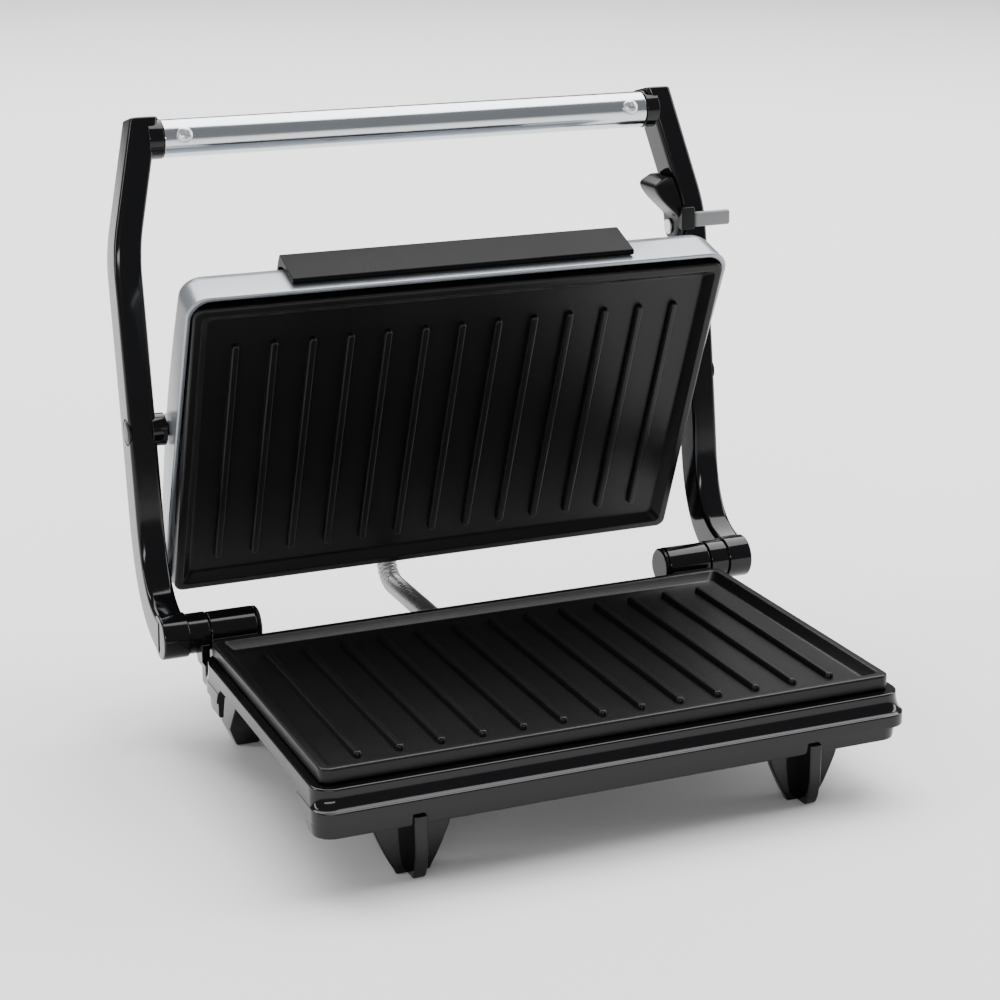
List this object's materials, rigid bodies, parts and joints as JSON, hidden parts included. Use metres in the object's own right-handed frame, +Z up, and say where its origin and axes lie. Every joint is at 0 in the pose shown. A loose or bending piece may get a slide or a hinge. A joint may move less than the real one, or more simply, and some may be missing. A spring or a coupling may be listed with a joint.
{
  "type": "panini press",
  "caption": "Countertop panini press stood open: shallow black base with a ribbed plate, cranked side arms with a steel tube handle and a floating ribbed lid.",
  "frame": {"origin": "middle of the bounding box at table level, under the feet", "axes": "+X to the user's right along the hinge axis, +Y to the back, +Z up"},
  "size_m": [0.2764, 0.2374, 0.2489],
  "materials": {
    "gloss_black_plastic": "moulded gloss black",
    "matt_black_plastic": "matt black",
    "nonstick_coating": "cast plate under a black non-stick coating",
    "silver_plastic": "silver-grey satin",
    "polished_steel": "polished tube",
    "zinc_steel": "plain bright",
    "heater_sheath": "dull oxidised",
    "aluminised_sheet": "thin pressed sheet",
    "ceramic": "off-white fired",
    "light_grey_plastic": "light grey",
    "red_lens": "translucent red",
    "green_lens": "translucent green",
    "black_rubber": "soft matt"
  },
  "bodies": {
    "base": {"base_housing": "gloss_black_plastic", "base_cover": "gloss_black_plastic", "cover_screw_1": "zinc_steel", "cover_screw_2": "zinc_steel", "cover_screw_3": "zinc_steel", "cover_screw_4": "zinc_steel", "hinge_cap_left": "matt_black_plastic", "hinge_cap_right": "matt_black_plastic", "hinge_pin_left": "zinc_steel", "hinge_pin_right": "zinc_steel", "cord_gland": "black_rubber", "conduit_ferrule_base": "zinc_steel", "heater_conduit": "zinc_steel", "terminal_block": "ceramic", "lower_grill_plate": "nonstick_coating", "lower_heater": "heater_sheath", "lower_shield": "aluminised_sheet", "lower_thermostat": "ceramic", "lower_thermal_fuse": "zinc_steel"},
    "handle": {"arm_left": "gloss_black_plastic", "arm_right": "gloss_black_plastic", "grip_tube": "polished_steel", "grip_screw_left": "zinc_steel", "grip_screw_right": "zinc_steel", "lid_pivot_pin_left": "matt_black_plastic", "lid_pivot_pin_right": "matt_black_plastic", "latch_pin": "zinc_steel"},
    "latch": {"latch_lever": "matt_black_plastic", "latch_tab": "light_grey_plastic"},
    "lid": {"lid_shell": "silver_plastic", "lid_front_strip": "matt_black_plastic", "upper_grill_plate": "nonstick_coating", "upper_heater": "heater_sheath", "upper_shield": "aluminised_sheet", "upper_thermostat": "ceramic", "pilot_lens_red": "red_lens", "pilot_lens_green": "green_lens", "neon_lamp_red": "ceramic", "neon_lamp_green": "ceramic", "conduit_ferrule_lid": "zinc_steel"}
  },
  "joints": [
    {"name": "handle_hinge", "type": "hinge", "parent": "base", "child": "handle", "pos_m": [-0.0044, 0.04256, 0.047], "axis": [1, 0, 0], "range_deg": [0, 100], "deforming": ["heater_conduit"]},
    {"name": "lid_tilt", "type": "hinge", "parent": "handle", "child": "lid", "pos_m": [-0.0044, 0.07797, 0.12402], "axis": [1, 0, 0], "range_deg": [-38, 0]},
    {"name": "latch_pivot", "type": "hinge", "parent": "handle", "child": "latch", "pos_m": [0.1174, 0.09005, 0.188], "axis": [1, 0, 0], "range_deg": [0, 3]}
  ],
  "couplings": [
    {"joint": "lid_tilt", "follows": "handle_hinge", "ratio": -0.3234}
  ]
}
